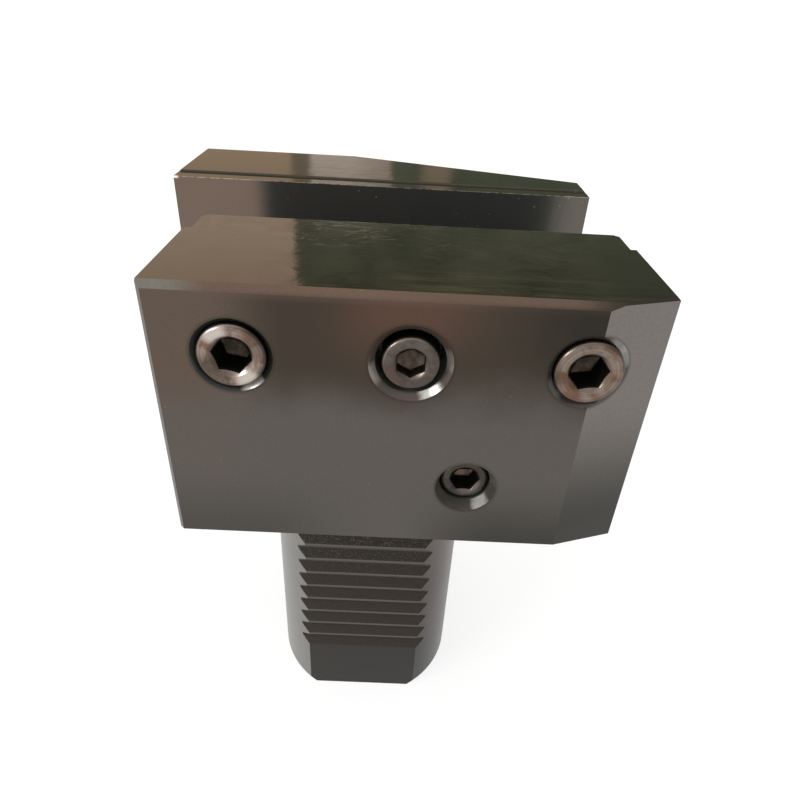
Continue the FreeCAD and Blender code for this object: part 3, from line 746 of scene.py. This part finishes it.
@dataclass(frozen=True)
class ScrewSteel:
    """Oiled screw steel with a copper tint, turned, with painted sheen and shade on its face and a painted
    highlight on its crest.

    Sizes are in millimetres. A share says how strongly a tone is laid on, from 0 to 1.
    """

    name: str = "screw_steel"
    copper: Colour = (0.205, 0.120, 0.083)
    pale: Colour = (0.310, 0.250, 0.212)
    # oil film, and painted shade on the turned face
    oil_and_shade: Colour = (0.074, 0.054, 0.042)
    # painted shade inside the socket
    black: Colour = (0.016, 0.018, 0.013)
    # painted shade at the outer rim of the screw's face
    rim: Colour = (0.034, 0.028, 0.021)
    sheen: Colour = (0.60, 0.54, 0.49)
    # painted highlight on slopes facing the light
    crest: Colour = (0.52, 0.44, 0.38)
    floor: Colour = (0.40, 0.28, 0.21)
    crest_mm: float = 3.9
    hole_mm: float = 3.0
    floor_mm: float = 5.2
    shift_mm: float = 0.0
    oil_share: float = 0.7
    floor_share: float = 0.30
    sheen_share: float = 0.0
    highlight_share: float = 0.2
    rim_shade_share: float = 0.55
    sheen_degrees: float = 120.0
    dim_degrees: float = 226.0
    light_way: Tuple[float, float, float] = (-0.60, 0.0, 0.80)
    turning_lines: float = 26.0
    grain: Grain = Grain.TURNED

    def patches(self, at: Spot, out: Socket) -> Tuple[Socket, Socket]:
        """The steel's own tones, copper and pale patches under oil, in rings, with painted shade darkening
        the rim.

        Args:
            at: the shaded point.
            out: its distance from the screw's axis.

        Returns:
            The colour, and the noise that it follows.
        """
        g = at.g
        moved = g.shifted(at.mm, (self.shift_mm, 0.0, self.shift_mm * 0.6))
        patchy = g.cloud(moved, 0.26, 3.0, 0.6, 0.3)
        film = g.cloud(g.scaled(moved, (1.0, 0.4, 1.0)), 0.31, 3.0, 0.55, 0.8)
        rings = g.add("TexNoise", {"W": out, "Scale": 3.2, "Detail": 3.0}, noise_dimensions="1D")
        # painted shade: the face is darkened beyond the crest, towards the rim
        rim = g.rise(out, self.crest_mm + 0.40, self.crest_mm + 0.85, 0.0, self.rim_shade_share)
        colour = g.layers(
            self.copper,
            (g.rise(patchy, 0.40, 0.60), self.pale),
            (g.rise(film, 0.50, 0.64, 0.0, self.oil_share), self.oil_and_shade),
            (g.rise(rings.outputs[0], 0.42, 0.62, 0.0, 0.4), self.oil_and_shade),
            (rim, self.rim),
        )
        return colour, patchy

    def light_over(self, at: Spot, out: Socket, colour: Tone) -> Socket:
        """Adds painted light on the turned face: a painted sheen in two opposite sectors, painted shade
        between them and towards the lower left, on slopes facing away from the light, away from the crest
        and deeper in, and a painted highlight on slopes facing the light.

        Args:
            at: the shaded point.
            out: its distance from the screw's axis.
            colour: the colour so far.

        Returns:
            The new colour.
        """
        g = at.g
        sector = g.math("ABSOLUTE", g.bearing(at.x, at.z, out, self.sheen_degrees))
        dimmed = g.bearing(at.x, at.z, out, self.dim_degrees)
        lean = g.along(at.facing, self.light_way)
        # painted light: sheen, shade and highlight stand in for how the lamp falls on the turned face
        return g.layers(
            colour,
            (g.rise(sector, 0.75, 0.2, 0.0, 0.5 * self.sheen_share), self.oil_and_shade),
            (g.rise(sector, 0.86, 0.99, 0.0, 0.75 * self.sheen_share), self.sheen),
            (g.rise(dimmed, 0.55, 0.95, 0.0, 0.55 * self.sheen_share), self.oil_and_shade),
            (g.rise(lean, -0.10, -0.70, 0.0, 0.75), self.oil_and_shade),
            (g.rise(lean, 0.15, 0.65, 0.0, self.highlight_share), self.crest),
            (g.rise(g.apart(out, self.crest_mm), 0.55, 1.1, 0.0, 0.4), self.oil_and_shade),
            (g.rise(at.y, 0.6, 1.2, 0.0, 0.9), self.oil_and_shade),
        )

    def make(self) -> bpy.types.Material:
        """Builds the finish, on a piece whose own Y axis is the screw's.

        Returns:
            The material.
        """
        material, g, shader = new_material(self.name)
        at = g.spot()
        out = g.reach(at.x, at.z)
        colour, patchy = self.patches(at, out)
        colour = self.light_over(at, out, colour)
        # painted shade: inside the socket the colour is laid near black, mixed towards the floor tone at
        # its bottom
        in_socket = g.times(g.rise(out, self.hole_mm + 0.1, self.hole_mm - 0.1), g.rise(at.y, 0.5, 1.1))
        uneven = g.rise(g.cloud(at.mm, 0.8, 1.0), 0.35, 0.62, 0.45, 1.0)
        at_floor = g.rise(at.y, self.floor_mm - 0.4, self.floor_mm - 0.05)
        floor = g.times(at_floor, uneven, self.floor_share)
        colour = g.blend(in_socket, colour, g.blend(floor, self.black, self.floor))
        rough = g.number(in_socket, g.number(g.rise(patchy, 0.3, 0.7), 0.20, 0.30), 0.55)
        metallic = g.number(g.times(in_socket, floor), 1.0, 0.0)
        if self.grain is Grain.TURNED:
            lines = g.math("SINE", g.times(out, self.turning_lines))
        else:
            lines = g.cloud(g.scaled(at.mm, (0.4, 6.0, 6.0)), 1.0)
        dents = g.relief(g.cloud(at.mm, 0.9, 2.0), 0.03)
        g.paint(shader, colour, rough, metallic, g.relief(lines, 0.0018, dents))
        return material


@dataclass(frozen=True)
class BrightBall:
    """Bright steel of the nozzle ball, spotted with dried coolant."""

    name: str = "ball_steel"
    bright: Colour = (0.56, 0.55, 0.53)
    spot: Colour = (0.30, 0.27, 0.23)

    def make(self) -> bpy.types.Material:
        """Builds the finish.

        Returns:
            The material.
        """
        material, g, shader = new_material(self.name)
        at = g.spot()
        spots = g.rise(g.cloud(at.mm, 0.9, 3.0, 0.6), 0.55, 0.7)
        colour = g.blend(spots, self.bright, self.spot)
        rough = g.number(spots, 0.18, 0.36)
        g.paint(shader, colour, rough, 1.0, g.relief(g.cloud(at.mm, 4.0, 2.0), 0.004))
        return material


@dataclass(frozen=True)
class SealRubber:
    """Black rubber of the shank seal, with a light bloom."""

    name: str = "seal_rubber"
    black: Colour = (0.014, 0.014, 0.015)
    bloom: Colour = (0.045, 0.045, 0.046)

    def make(self) -> bpy.types.Material:
        """Builds the finish.

        Returns:
            The material.
        """
        material, g, shader = new_material(self.name)
        at = g.spot()
        dusty = g.cloud(at.mm, 0.4, 4.0, 0.6)
        colour = g.blend(g.rise(dusty, 0.45, 0.7), self.black, self.bloom)
        rough = g.rise(dusty, 0.3, 0.7, 0.45, 0.65)
        g.paint(shader, colour, rough, 0.0, g.relief(g.cloud(at.mm, 6.0, 3.0), 0.01))
        return material


# Turned meshes


def size_at(value: AngleSize, angle: float) -> float:
    """A size that may vary round the axis, at one angle."""
    return value(angle) if callable(value) else value


def hexagon(across: float, corner: float) -> Callable[[float], float]:
    """The radius of a hexagon round its centre.

    Args:
        across: its width between flats, in millimetres.
        corner: the angle of one corner, in radians.

    Returns:
        The radius as a function of the angle.
    """
    def radius(angle: float) -> float:
        """The radius at an angle."""
        step = math.radians(60.0)
        return across / 2 / math.cos((angle - corner) % step - step / 2)
    return radius


@dataclass
class TurnedPiece:
    """A closed skin of rings round the piece's own Y axis, with its outer end at Y = 0.

    Radii and depths are in millimetres, and a depth is how far a ring lies behind the outer end.
    A thread's depth is a share of its pitch. Its flank slope says how fast it falls along a turn, and
    its crest flat how much of that fall is held back first.
    """

    name: str
    corner: float = 0.0
    sides: int = 96
    sharp_degrees: float = 38.0
    mouth_slope: float = 0.577
    socket_edge: float = 0.05
    thread_depth: float = 0.54
    rings_per_turn: int = 8
    flank_slope: float = 2.4
    crest_flat: float = 0.12
    rings: List[Tuple[AngleSize, AngleSize]] = field(default_factory=list)

    def ring(self, radius: AngleSize, depth: AngleSize) -> None:
        """Adds a ring, each of its sizes a number or a function of the angle."""
        self.rings.append((radius, depth))

    def profile(self, steps: Profile) -> None:
        """Adds a round ring for each pair of a radius and a depth."""
        self.rings.extend(steps)

    def socket(self, across: float, depth: float, rim: float, rim_depth: float) -> None:
        """Adds a hexagon socket with a drilled bottom and a coned mouth.

        Args:
            across: its width between flats.
            depth: its depth.
            rim: radius of the coned mouth.
            rim_depth: how far the rim lies behind the outer end.
        """
        hexa = hexagon(across, self.corner)
        edge = self.socket_edge
        slope = self.mouth_slope
        self.ring(across * 0.22, depth + across * 0.20)
        self.ring(across * 0.44, depth + across * 0.03)
        self.ring(lambda a: hexa(a) * 0.985, depth)
        self.ring(hexa, depth - 0.08)
        self.ring(hexa, lambda a: rim_depth + (rim - hexa(a)) * slope + 0.06)
        self.ring(lambda a: hexa(a) + edge, lambda a: rim_depth + (rim - hexa(a) - edge) * slope)
        self.ring(rim, rim_depth)

    def flank(self, from_crest: float) -> float:
        """How deep a thread is, from 0 to 1, at a share of a turn from the middle of its crest."""
        return min(1.0, max(0.0, from_crest * self.flank_slope - self.crest_flat))

    def thread(self, radius: float, pitch: float, start: float, end: float) -> None:
        """Adds a screw thread as closely laid rings that climb with the angle.

        Args:
            radius: crest radius.
            pitch: distance between turns.
            start: where it starts, behind the outer end.
            end: where it ends.
        """
        cut = self.thread_depth * pitch
        count = int((end - start) / pitch * self.rings_per_turn)
        for i in range(count + 1):
            at = start + (end - start) * i / count
            fade = min(1.0, (at - start) / pitch, (end - at) / pitch)

            def wall(angle: float, at: float = at, fade: float = fade) -> float:
                """The thread's radius at an angle."""
                from_crest = abs((at / pitch - angle / (2 * math.pi)) % 1.0 - 0.5)
                return radius - cut * fade * self.flank(from_crest)
            self.ring(wall, at)

    def build(self, place: Vector) -> bpy.types.Object:
        """Makes the mesh.

        Args:
            place: its outer end's centre in the frame, in millimetres.

        Returns:
            The new object, with both ends closed.
        """
        work = bmesh.new()
        rows = []
        for radius, depth in self.rings:
            row = []
            for i in range(self.sides):
                angle = self.corner + 2 * math.pi * i / self.sides
                r = size_at(radius, angle)
                row.append(work.verts.new((r * math.cos(angle) * MM, size_at(depth, angle) * MM,
                                           r * math.sin(angle) * MM)))
            rows.append(row)
        for near, far in zip(rows, rows[1:]):
            for i in range(self.sides):
                j = (i + 1) % self.sides
                work.faces.new((near[i], near[j], far[j], far[i]))
        for row in (rows[0], rows[-1]):
            heart = work.verts.new((0.0, sum(v.co.y for v in row) / len(row), 0.0))
            for i in range(self.sides):
                work.faces.new((row[i], row[(i + 1) % self.sides], heart))
        bmesh.ops.recalc_face_normals(work, faces=work.faces)
        mesh = bpy.data.meshes.new(self.name)
        work.to_mesh(mesh)
        work.free()
        mesh.shade_smooth()
        mesh.set_sharp_from_angle(angle=math.radians(self.sharp_degrees))
        made = bpy.data.objects.new(self.name, mesh)
        bpy.context.scene.collection.objects.link(made)
        made.location = place * MM
        return made


def dress(piece: bpy.types.Object, material: bpy.types.Material) -> None:
    """Gives every face of a piece one finish."""
    piece.data.materials.clear()
    piece.data.materials.append(material)


def outer_end(node: str) -> Vector:
    """The centre of a screw's outer end, in millimetres, read from its solid."""
    low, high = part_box(node)
    return Vector(((low.x + high.x) / 2, low.y, (low.z + high.z) / 2)) / MM


# Sub-assemblies


@dataclass
class Fastener:
    """A screw that takes its solid's place: a socket, a crown and what lies behind it, in millimetres."""

    steel: bpy.types.Material
    across: float
    socket_depth: float
    mouth: Tuple[float, float]
    crown: Profile
    radius: float
    pitch: float
    thread_start: float
    length: float
    sides: int = 96

    def stem(self, piece: TurnedPiece) -> None:
        """Adds the rings behind the crown: each kind of screw has its own."""
        raise NotImplementedError

    def build(self, node: str, body: str, corner: float) -> None:
        """Builds the screw in its solid's place.

        Args:
            node: the solid that it stands for.
            body: the body that it moves with.
            corner: angle of one corner of its socket, in degrees.
        """
        piece = TurnedPiece(node + "_detail", math.radians(corner), self.sides)
        piece.socket(self.across, self.socket_depth, *self.mouth)
        piece.profile(self.crown)
        self.stem(piece)
        made = piece.build(outer_end(node))
        dress(made, self.steel)
        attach(made, body)
        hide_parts(node)
        LOG.info("%s: %d faces", made.name, len(made.data.polygons))


@dataclass
class ClampScrew(Fastener):
    """One of the two long screws that push the strip: a domed crowned end with a hexagon socket."""

    across: float = 5.0
    socket_depth: float = 5.2
    mouth: Tuple[float, float] = (3.02, 0.30)
    crown: Profile = ((3.14, 0.20), (3.30, 0.115), (3.52, 0.045), (3.78, 0.01), (4.02, 0.0), (4.24, 0.02),
                      (4.44, 0.065), (4.61, 0.14), (4.75, 0.245), (4.86, 0.38), (4.93, 0.55), (4.97, 0.75),
                      (4.98, 1.0))
    radius: float = 5.0
    pitch: float = 1.5
    thread_start: float = 1.25
    length: float = 25.0
    neck_radius: float = 4.2
    point_radius: float = 3.5
    point_length: float = 5.0

    def stem(self, piece: TurnedPiece) -> None:
        """Adds the thread and the plain point.

        Args:
            piece: the rings so far.
        """
        neck = self.length - self.point_length
        piece.thread(self.radius, self.pitch, self.thread_start, neck - 0.9)
        piece.profile(((self.neck_radius, neck - 0.2), (self.point_radius, neck),
                       (self.point_radius, self.length - 0.6),
                       (self.point_radius - 0.2, self.length - 0.15),
                       (self.point_radius - 0.6, self.length)))


@dataclass
class StripScrew(Fastener):
    """The cap screw that draws the strip back: a knurled head in its counterbore."""

    across: float = 4.0
    socket_depth: float = 2.6
    mouth: Tuple[float, float] = (2.52, 0.12)
    crown: Profile = ((2.62, 0.06), (2.80, 0.04), (3.15, 0.05), (3.30, 0.02), (3.50, 0.0), (3.70, 0.03),
                      (3.90, 0.12), (4.05, 0.27), (4.14, 0.46), (4.18, 0.70))
    radius: float = 2.5
    pitch: float = 0.8
    thread_start: float = 19.8
    length: float = 27.5
    sides: int = 144
    head_radius: float = 4.25
    head_height: float = 5.0
    knurl_start: float = 0.95
    knurl_depth: float = 0.07
    flutes: int = 36

    def knurl(self, angle: float) -> float:
        """The head's radius at an angle, with its flutes."""
        return self.head_radius - self.knurl_depth * (0.5 + 0.5 * math.cos(self.flutes * angle))

    def stem(self, piece: TurnedPiece) -> None:
        """Adds the head's knurled side, the plain stem and the thread.

        Args:
            piece: the rings so far.
        """
        piece.ring(self.knurl, self.knurl_start)
        piece.ring(self.knurl, self.head_height - 0.35)
        piece.profile(((self.head_radius - 0.13, self.head_height - 0.1),
                       (self.head_radius - 0.25, self.head_height),
                       (self.radius + 0.2, self.head_height), (self.radius, self.head_height + 0.2),
                       (self.radius, self.thread_start - 0.2)))
        piece.thread(self.radius, self.pitch, self.thread_start, self.length - 0.6)
        piece.profile(((self.radius - 0.35, self.length - 0.2), (self.radius - 0.6, self.length)))


@dataclass
class CoolantPlug(Fastener):
    """The plug that closes the cross drilling, sunk in its coned mouth."""

    across: float = 4.0
    socket_depth: float = 4.0
    mouth: Tuple[float, float] = (2.48, 0.16)
    crown: Profile = ((2.62, 0.08), (2.85, 0.01), (3.15, 0.0), (3.42, 0.05), (3.64, 0.16), (3.80, 0.32),
                      (3.88, 0.52))
    radius: float = 4.0
    pitch: float = 1.0
    thread_start: float = 0.6
    length: float = 8.0

    def stem(self, piece: TurnedPiece) -> None:
        """Adds the thread and the bevelled inner end."""
        piece.thread(self.radius, self.pitch, self.thread_start, self.length - 0.5)
        piece.profile(((self.radius - 0.6, self.length - 0.2), (self.radius - 0.9, self.length)))


@dataclass
class SolidPieces:
    """The solids whose own shape stays: each gets its finish."""

    finishes: Tuple[Tuple[str, bpy.types.Material], ...]

    def build(self) -> None:
        """Puts each finish on its solid."""
        for node, material in self.finishes:
            dress(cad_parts[node], material)
            LOG.info("%s: dressed in %s", node, material.name)


# Studio


@dataclass
class Camera:
    """The photograph's camera, solved on the head, the slot and the shank."""

    place_mm: Tuple[float, float, float] = (3.665, -106.125, 76.738)
    pitch: float = 32.836
    yaw: float = -1.051
    roll: float = 3.284
    focal_px: float = 627.715
    frame_px: float = 800.0
    sensor_mm: float = 36.0
    nearest: float = 0.005
    farthest: float = 60.0

    def build(self) -> None:
        """Makes the camera and sets it as the scene's own."""
        pitch, yaw, roll = (math.radians(v) for v in (self.pitch, self.yaw, self.roll))
        right = Vector((math.cos(yaw), math.sin(yaw), 0.0))
        ahead = Vector((-math.sin(yaw) * math.cos(pitch), math.cos(yaw) * math.cos(pitch),
                        -math.sin(pitch)))
        up = right.cross(ahead)
        across = right * math.cos(roll) + up * math.sin(roll)
        upward = up * math.cos(roll) - right * math.sin(roll)
        data = bpy.data.cameras.new("Camera")
        data.sensor_width = self.sensor_mm
        data.lens = self.focal_px / self.frame_px * self.sensor_mm
        data.clip_start = self.nearest
        data.clip_end = self.farthest
        camera = bpy.data.objects.new("Camera", data)
        bpy.context.scene.collection.objects.link(camera)
        turned = Matrix((across, upward, -ahead)).transposed().to_4x4()
        camera.matrix_world = Matrix.Translation(Vector(self.place_mm) * MM) @ turned
        bpy.context.scene.camera = camera
        LOG.info("camera: lens %.2f mm", data.lens)


@dataclass
class Studio:
    """A pale floor under the shank, a soft room with coloured cards, and one soft light."""

    floor_z: float = -0.0631
    floor_size: float = 24.0
    floor_tones: Tuple[Colour, Colour] = ((0.27, 0.27, 0.27), (0.29, 0.29, 0.29))
    floor_glow: float = 0.79
    leaves: Tuple[Colour, Colour] = ((0.10, 0.12, 0.085), (0.27, 0.30, 0.215))
    moss: Colour = (0.06, 0.08, 0.035)
    amber: Colour = (0.42, 0.33, 0.24)
    tans: Tuple[Colour, Colour] = ((0.535, 0.409, 0.282), (0.80, 0.65, 0.51))
    pinks: Tuple[Colour, Colour] = ((0.74, 0.64, 0.56), (0.55, 0.46, 0.39))
    umber: Colour = (0.27, 0.23, 0.16)
    wall: Colour = (1.0, 1.0, 1.0)
    ceiling: Colour = (1.35, 1.35, 1.35)
    right_wall: Colour = (0.40, 0.36, 0.34)
    backdrop: Colour = (1.1, 1.1, 1.1)
    light_place: Tuple[float, float, float] = (-0.76, -0.52, 0.46)
    light_target: Tuple[float, float, float] = (0.0, 0.0, 0.02)
    light_size: Tuple[float, float] = (0.42, 0.26)
    light_watts: float = 3.6
    light_colour: Colour = (1.0, 0.99, 0.97)

    def floor(self) -> None:
        """Makes the floor."""
        mesh = bpy.data.meshes.new("Floor")
        half = self.floor_size / 2
        corners = ((-half, -half), (half, -half), (half, half), (-half, half))
        mesh.from_pydata([(x, y, self.floor_z) for x, y in corners], [], [(0, 1, 2, 3)])
        floor = bpy.data.objects.new("Floor", mesh)
        bpy.context.scene.collection.objects.link(floor)
        material, g, shader = new_material("pale_floor")
        soft = g.cloud(g.add("TexCoord").outputs["Object"], 3.0, 2.0)
        g.fill(shader, {"Base Color": g.blend(soft, *self.floor_tones), "Roughness": 0.9,
                        "Specular IOR Level": 0.1, "Emission Color": (1.0, 1.0, 1.0),
                        "Emission Strength": self.floor_glow})
        dress(floor, material)

    def card(self, g: Graph, way: Socket, turn: Socket, tilt: Socket) -> Socket:
        """What the polished tops mirror: a tan card to the left and a leafy green one to the right.

        Args:
            g: the world's graph.
            way: the direction looked in.
            turn: its turn from straight behind the holder, in degrees to the right.
            tilt: its height in degrees.

        Returns:
            The colour.
        """
        high = g.rise(tilt, 14.0, 17.0)
        leafy = g.cloud(g.scaled(way, (13.0, 13.0, 85.0)), 1.0, 4.0, 0.6, 0.6)
        green = g.blend(g.rise(leafy, 0.36, 0.66), *self.leaves)
        tan = g.blend(high, *self.tans)
        pink = g.blend(g.rise(turn, -5.0, -1.0), *self.pinks)
        patch = g.times(g.rise(turn, 1.2, 2.6), g.rise(turn, 5.0, 3.8))
        low_green = g.blend(g.times(patch, 0.8), g.blend(0.35, green, self.moss), self.amber)
        low = g.blend(g.rise(turn, -8.3, -7.7), self.umber, pink)
        low = g.blend(g.rise(turn, -1.2, -0.6), low, low_green)
        return g.blend(g.rise(turn, -9.8, -9.3), tan, g.blend(high, low, green))

    def room(self) -> None:
        """Makes the world: a soft pale room with the cards behind, and a plain backdrop."""
        world = bpy.data.worlds.new("Room")
        world.use_nodes = True
        bpy.context.scene.world = world
        g = Graph(world.node_tree)
        way = g.add("TexCoord").outputs["Generated"]
        x, y, z = g.split(way)
        turn = g.math("DEGREES", g.math("ARCTAN2", x, y))
        tilt = g.math("DEGREES", g.math("ARCSINE", z))
        behind = g.times(g.rise(turn, -75.0, -68.0), g.rise(turn, 64.0, 52.0), g.rise(tilt, 55.0, 42.0))
        room = g.blend(g.rise(tilt, 50.0, 85.0), self.wall, self.ceiling)
        right = g.times(g.rise(turn, 55.0, 75.0), g.rise(turn, 150.0, 120.0), g.rise(tilt, 60.0, 40.0))
        room = g.blend(g.times(right, 0.4), room, self.right_wall)
        seen = g.blend(behind, room, self.card(g, way, turn, tilt))
        seen = g.blend(g.add("LightPath").outputs["Is Camera Ray"], seen, self.backdrop)
        back = g.add("Background", {"Color": seen, "Strength": 1.0})
        g.add("OutputWorld", {"Surface": back.outputs[0]})

    def light(self) -> None:
        """Makes the one soft light."""
        data = bpy.data.lights.new("Window", "AREA")
        data.shape = "RECTANGLE"
        data.size, data.size_y = self.light_size
        data.energy = self.light_watts
        data.color = self.light_colour
        light = bpy.data.objects.new("Window", data)
        bpy.context.scene.collection.objects.link(light)
        light.location = self.light_place
        aim = Vector(self.light_target) - Vector(self.light_place)
        light.rotation_euler = aim.to_track_quat("-Z", "Y").to_euler()

    def build(self) -> None:
        """Makes the floor, the room and the light."""
        self.floor()
        self.room()
        self.light()
        view = bpy.context.scene.view_settings
        view.view_transform = "Standard"
        view.look = "None"
        LOG.info("studio: floor, room and light")


# The whole


def main() -> None:
    """Builds the finishes, the pieces and the studio."""
    logging.basicConfig(level=logging.INFO, format="%(name)s: %(message)s")
    holder_steel = BlackenedSteel((
        Mouth("clamp_screw_left", 5.8, painted_highlights=((-60.0, 0.8),)),
        Mouth("strip_screw", 6.05, (0.072, 0.053, 0.042), ((-56.0, 1.0), (200.0, 0.3), (8.0, 0.18))),
        Mouth("clamp_screw_right", 5.8, (0.050, 0.044, 0.038),
              ((25.0, 0.30), (48.0, 0.25), (215.0, 0.25))),
        Mouth("coolant_plug", 4.8, (0.082, 0.074, 0.064), ((-52.0, 1.0), (20.0, 0.12))),
    )).make()
    ring_steel = ScrewSteel("ring_steel", (0.140, 0.118, 0.100), (0.200, 0.180, 0.160),
                            crest_mm=5.2, grain=Grain.GROUND).make()
    SolidPieces((
        ("holder_body", holder_steel),
        ("clamping_strip", PolishedStrip().make()),
        ("nozzle_ring", ring_steel),
        ("nozzle_ball", BrightBall().make()),
        ("shank_seal", SealRubber().make()),
    )).build()

    left_steel = ScrewSteel("left_screw_steel", sheen_share=1.0, highlight_share=0.45, rim_shade_share=0.85).make()
    right_steel = ScrewSteel("right_screw_steel", (0.175, 0.098, 0.066), (0.235, 0.188, 0.162),
                             shift_mm=31.0, oil_share=0.5).make()
    cap_steel = ScrewSteel("cap_screw_steel", (0.100, 0.072, 0.060), (0.118, 0.102, 0.092),
                           (0.058, 0.047, 0.040), (0.030, 0.026, 0.020), crest_mm=3.5, hole_mm=2.5,
                           shift_mm=12.0, oil_share=0.5, floor_mm=2.6, floor_share=0.32).make()
    plug_steel = ScrewSteel("plug_steel", (0.056, 0.046, 0.039), (0.080, 0.072, 0.065),
                            (0.036, 0.032, 0.028), crest_mm=3.0, hole_mm=2.5, shift_mm=7.0,
                            floor_mm=4.0, floor_share=0.85).make()
    ClampScrew(left_steel).build("clamp_screw_left", "left_screw", -11.0)
    ClampScrew(right_steel).build("clamp_screw_right", "right_screw", 9.0)
    StripScrew(cap_steel).build("strip_screw", "strip", 30.0)
    CoolantPlug(plug_steel).build("coolant_plug", "holder", 0.0)
    Studio().build()
    Camera().build()


if __name__ == "__main__":
    main()
